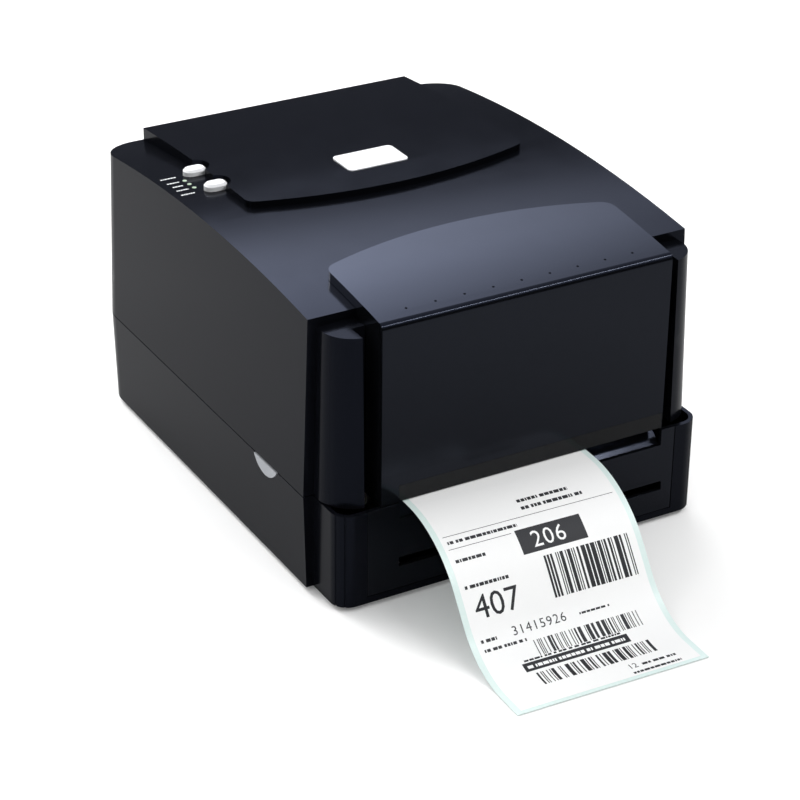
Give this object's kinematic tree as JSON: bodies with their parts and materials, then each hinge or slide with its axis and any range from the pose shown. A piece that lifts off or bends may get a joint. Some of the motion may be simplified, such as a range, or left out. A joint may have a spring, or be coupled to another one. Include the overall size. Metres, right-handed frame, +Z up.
{
  "type": "barcode label printer",
  "caption": "Desktop thermal-transfer label printer with a hinged crowned cover, raised front lid, ribbon and label rolls inside, and a printed label web hanging out of the front.",
  "frame": {"origin": "on the table, below the middle of the whole object with its hanging label", "axes": "+X to the right seen from the front, +Y from the front to the rear, +Z up"},
  "size_m": [0.233, 0.4098, 0.1687],
  "materials": {
    "base_black": "gloss",
    "front_black": "gloss",
    "cover_black": "gloss",
    "foot_rubber": "matte",
    "platen_rubber": "matte",
    "zinc": "satin",
    "steel": "satin",
    "sheet_steel": "satin",
    "motor_steel": "satin",
    "brass": "satin",
    "aluminium": "satin",
    "tin": "satin",
    "smoked": "gloss",
    "badge": "gloss",
    "grey_plastic": "satin",
    "silver_plastic": "satin",
    "white_plastic": "satin",
    "lens": "gloss",
    "board": "satin",
    "inner_plastic": "matte",
    "gear_plastic": "satin",
    "card": "matte",
    "paper": "matte",
    "ceramic_head": "gloss",
    "ribbon": "gloss"
  },
  "bodies": {
    "base": {"base_housing": "base_black", "lower_front_panel": "front_black", "rubber_feet": "foot_rubber", "chassis_screws": "zinc", "hinge_pins": "steel", "media_bay": "inner_plastic", "label_web": "paper", "print_chassis": "sheet_steel", "web_guide_bar": "steel", "gap_sensor": "inner_plastic", "tear_bar": "steel", "platen_bushes": "gear_plastic", "idler_stud": "steel", "stepper_motor": "motor_steel", "main_board": "board", "switch_housing": "inner_plastic", "power_inlet": "inner_plastic", "usb_socket": "tin", "serial_socket": "tin", "parallel_socket": "tin"},
    "cover": {"top_cover": "cover_black", "front_lid": "front_black", "tear_window": "smoked", "badge_plate": "badge", "latch_hooks": "grey_plastic", "status_light_pipes": "lens", "panel_board": "board", "ribbon_frame": "inner_plastic", "frame_screws": "zinc", "ribbon_film": "ribbon", "head_springs": "steel"},
    "left_release": {"latch_button_left": "silver_plastic"},
    "right_release": {"latch_button_right": "silver_plastic"},
    "pause": {"pause_button": "white_plastic"},
    "feed": {"feed_button": "white_plastic"},
    "rocker": {"power_rocker": "inner_plastic"},
    "platen": {"platen_roller": "platen_rubber", "platen_shaft": "steel", "platen_gear": "gear_plastic"},
    "idler": {"idler_gear": "gear_plastic"},
    "motor": {"motor_pinion": "brass"},
    "transfer_lower": {"transfer_gear_lower": "gear_plastic"},
    "transfer_upper": {"transfer_gear_upper": "gear_plastic"},
    "rewind": {"rewind_spindle": "grey_plastic", "rewind_gear": "gear_plastic", "rewind_ribbon": "ribbon"},
    "supply": {"supply_spindle": "grey_plastic", "supply_ribbon": "ribbon"},
    "roll": {"roll_spindle": "white_plastic", "roll_end_discs": "grey_plastic", "label_core": "card", "label_roll": "paper"},
    "guide_left": {"media_guide_left": "grey_plastic"},
    "guide_right": {"media_guide_right": "grey_plastic"},
    "guide_gear": {"guide_pinion": "grey_plastic"},
    "head": {"print_head": "ceramic_head", "head_heat_sink": "aluminium"}
  },
  "joints": [
    {"name": "cover_hinge", "type": "hinge", "parent": "base", "child": "cover", "pos_m": [0, 0.2014, 0.0575], "axis": [-1, 0, 0], "range_deg": [0, 75]},
    {"name": "left_release_press", "type": "slide", "parent": "base", "child": "left_release", "axis": [1, 0, 0], "range_m": [0, 0.0025], "stiffness_N_per_m": 400, "springref_m": -0.001},
    {"name": "right_release_press", "type": "slide", "parent": "base", "child": "right_release", "axis": [-1, 0, 0], "range_m": [0, 0.0025], "stiffness_N_per_m": 400, "springref_m": -0.001},
    {"name": "pause_press", "type": "slide", "parent": "cover", "child": "pause", "axis": [0, 0, -1], "range_m": [0, 0.001], "stiffness_N_per_m": 400, "springref_m": -0.001},
    {"name": "feed_press", "type": "slide", "parent": "cover", "child": "feed", "axis": [0, 0, -1], "range_m": [0, 0.001], "stiffness_N_per_m": 400, "springref_m": -0.001},
    {"name": "rocker_tilt", "type": "hinge", "parent": "base", "child": "rocker", "pos_m": [-0.088, 0.1965, 0.032], "axis": [1, 0, 0], "range_deg": [0, 14]},
    {"name": "platen_spin", "type": "hinge", "parent": "base", "child": "platen", "pos_m": [0, -0.0534, 0.04855], "axis": [1, 0, 0], "continuous": true},
    {"name": "idler_spin", "type": "hinge", "parent": "base", "child": "idler", "pos_m": [0, -0.04114, 0.03827], "axis": [1, 0, 0], "continuous": true},
    {"name": "motor_spin", "type": "hinge", "parent": "base", "child": "motor", "pos_m": [0, -0.01889, 0.02927], "axis": [1, 0, 0], "continuous": true},
    {"name": "transfer_lower_spin", "type": "hinge", "parent": "cover", "child": "transfer_lower", "pos_m": [0, -0.0534, 0.07095], "axis": [1, 0, 0], "continuous": true},
    {"name": "transfer_upper_spin", "type": "hinge", "parent": "cover", "child": "transfer_upper", "pos_m": [0, -0.0534, 0.09655], "axis": [1, 0, 0], "continuous": true},
    {"name": "rewind_spin", "type": "hinge", "parent": "cover", "child": "rewind", "pos_m": [0, -0.0534, 0.12135], "axis": [1, 0, 0], "continuous": true},
    {"name": "supply_spin", "type": "hinge", "parent": "cover", "child": "supply", "pos_m": [0, -0.0014, 0.117], "axis": [1, 0, 0], "continuous": true},
    {"name": "roll_spin", "type": "hinge", "parent": "base", "child": "roll", "pos_m": [0, 0.1246, 0.068], "axis": [1, 0, 0], "continuous": true},
    {"name": "left_guide_slide", "type": "slide", "parent": "base", "child": "guide_left", "axis": [-1, 0, 0], "range_m": [0, 0.0034]},
    {"name": "right_guide_slide", "type": "slide", "parent": "base", "child": "guide_right", "axis": [1, 0, 0], "range_m": [0, 0.0034]},
    {"name": "guide_gear_spin", "type": "hinge", "parent": "base", "child": "guide_gear", "pos_m": [-0.017, 0.0296, 0.046], "axis": [0, 0, -1], "range_deg": [0, 24.4]},
    {"name": "head_lift", "type": "slide", "parent": "cover", "child": "head", "axis": [0, 0, 1], "range_m": [0, 0.0015], "stiffness_N_per_m": 1500, "springref_m": -0.001, "deforming": ["head_springs"]}
  ],
  "couplings": [
    {"joint": "idler_spin", "follows": "platen_spin", "ratio": -1.5},
    {"joint": "motor_spin", "follows": "platen_spin", "ratio": 6},
    {"joint": "transfer_lower_spin", "follows": "platen_spin", "ratio": -0.75},
    {"joint": "transfer_upper_spin", "follows": "platen_spin", "ratio": 0.75},
    {"joint": "rewind_spin", "follows": "platen_spin", "ratio": -0.8},
    {"joint": "right_guide_slide", "follows": "left_guide_slide", "ratio": 1},
    {"joint": "guide_gear_spin", "follows": "left_guide_slide", "rad_per_m": 125}
  ]
}
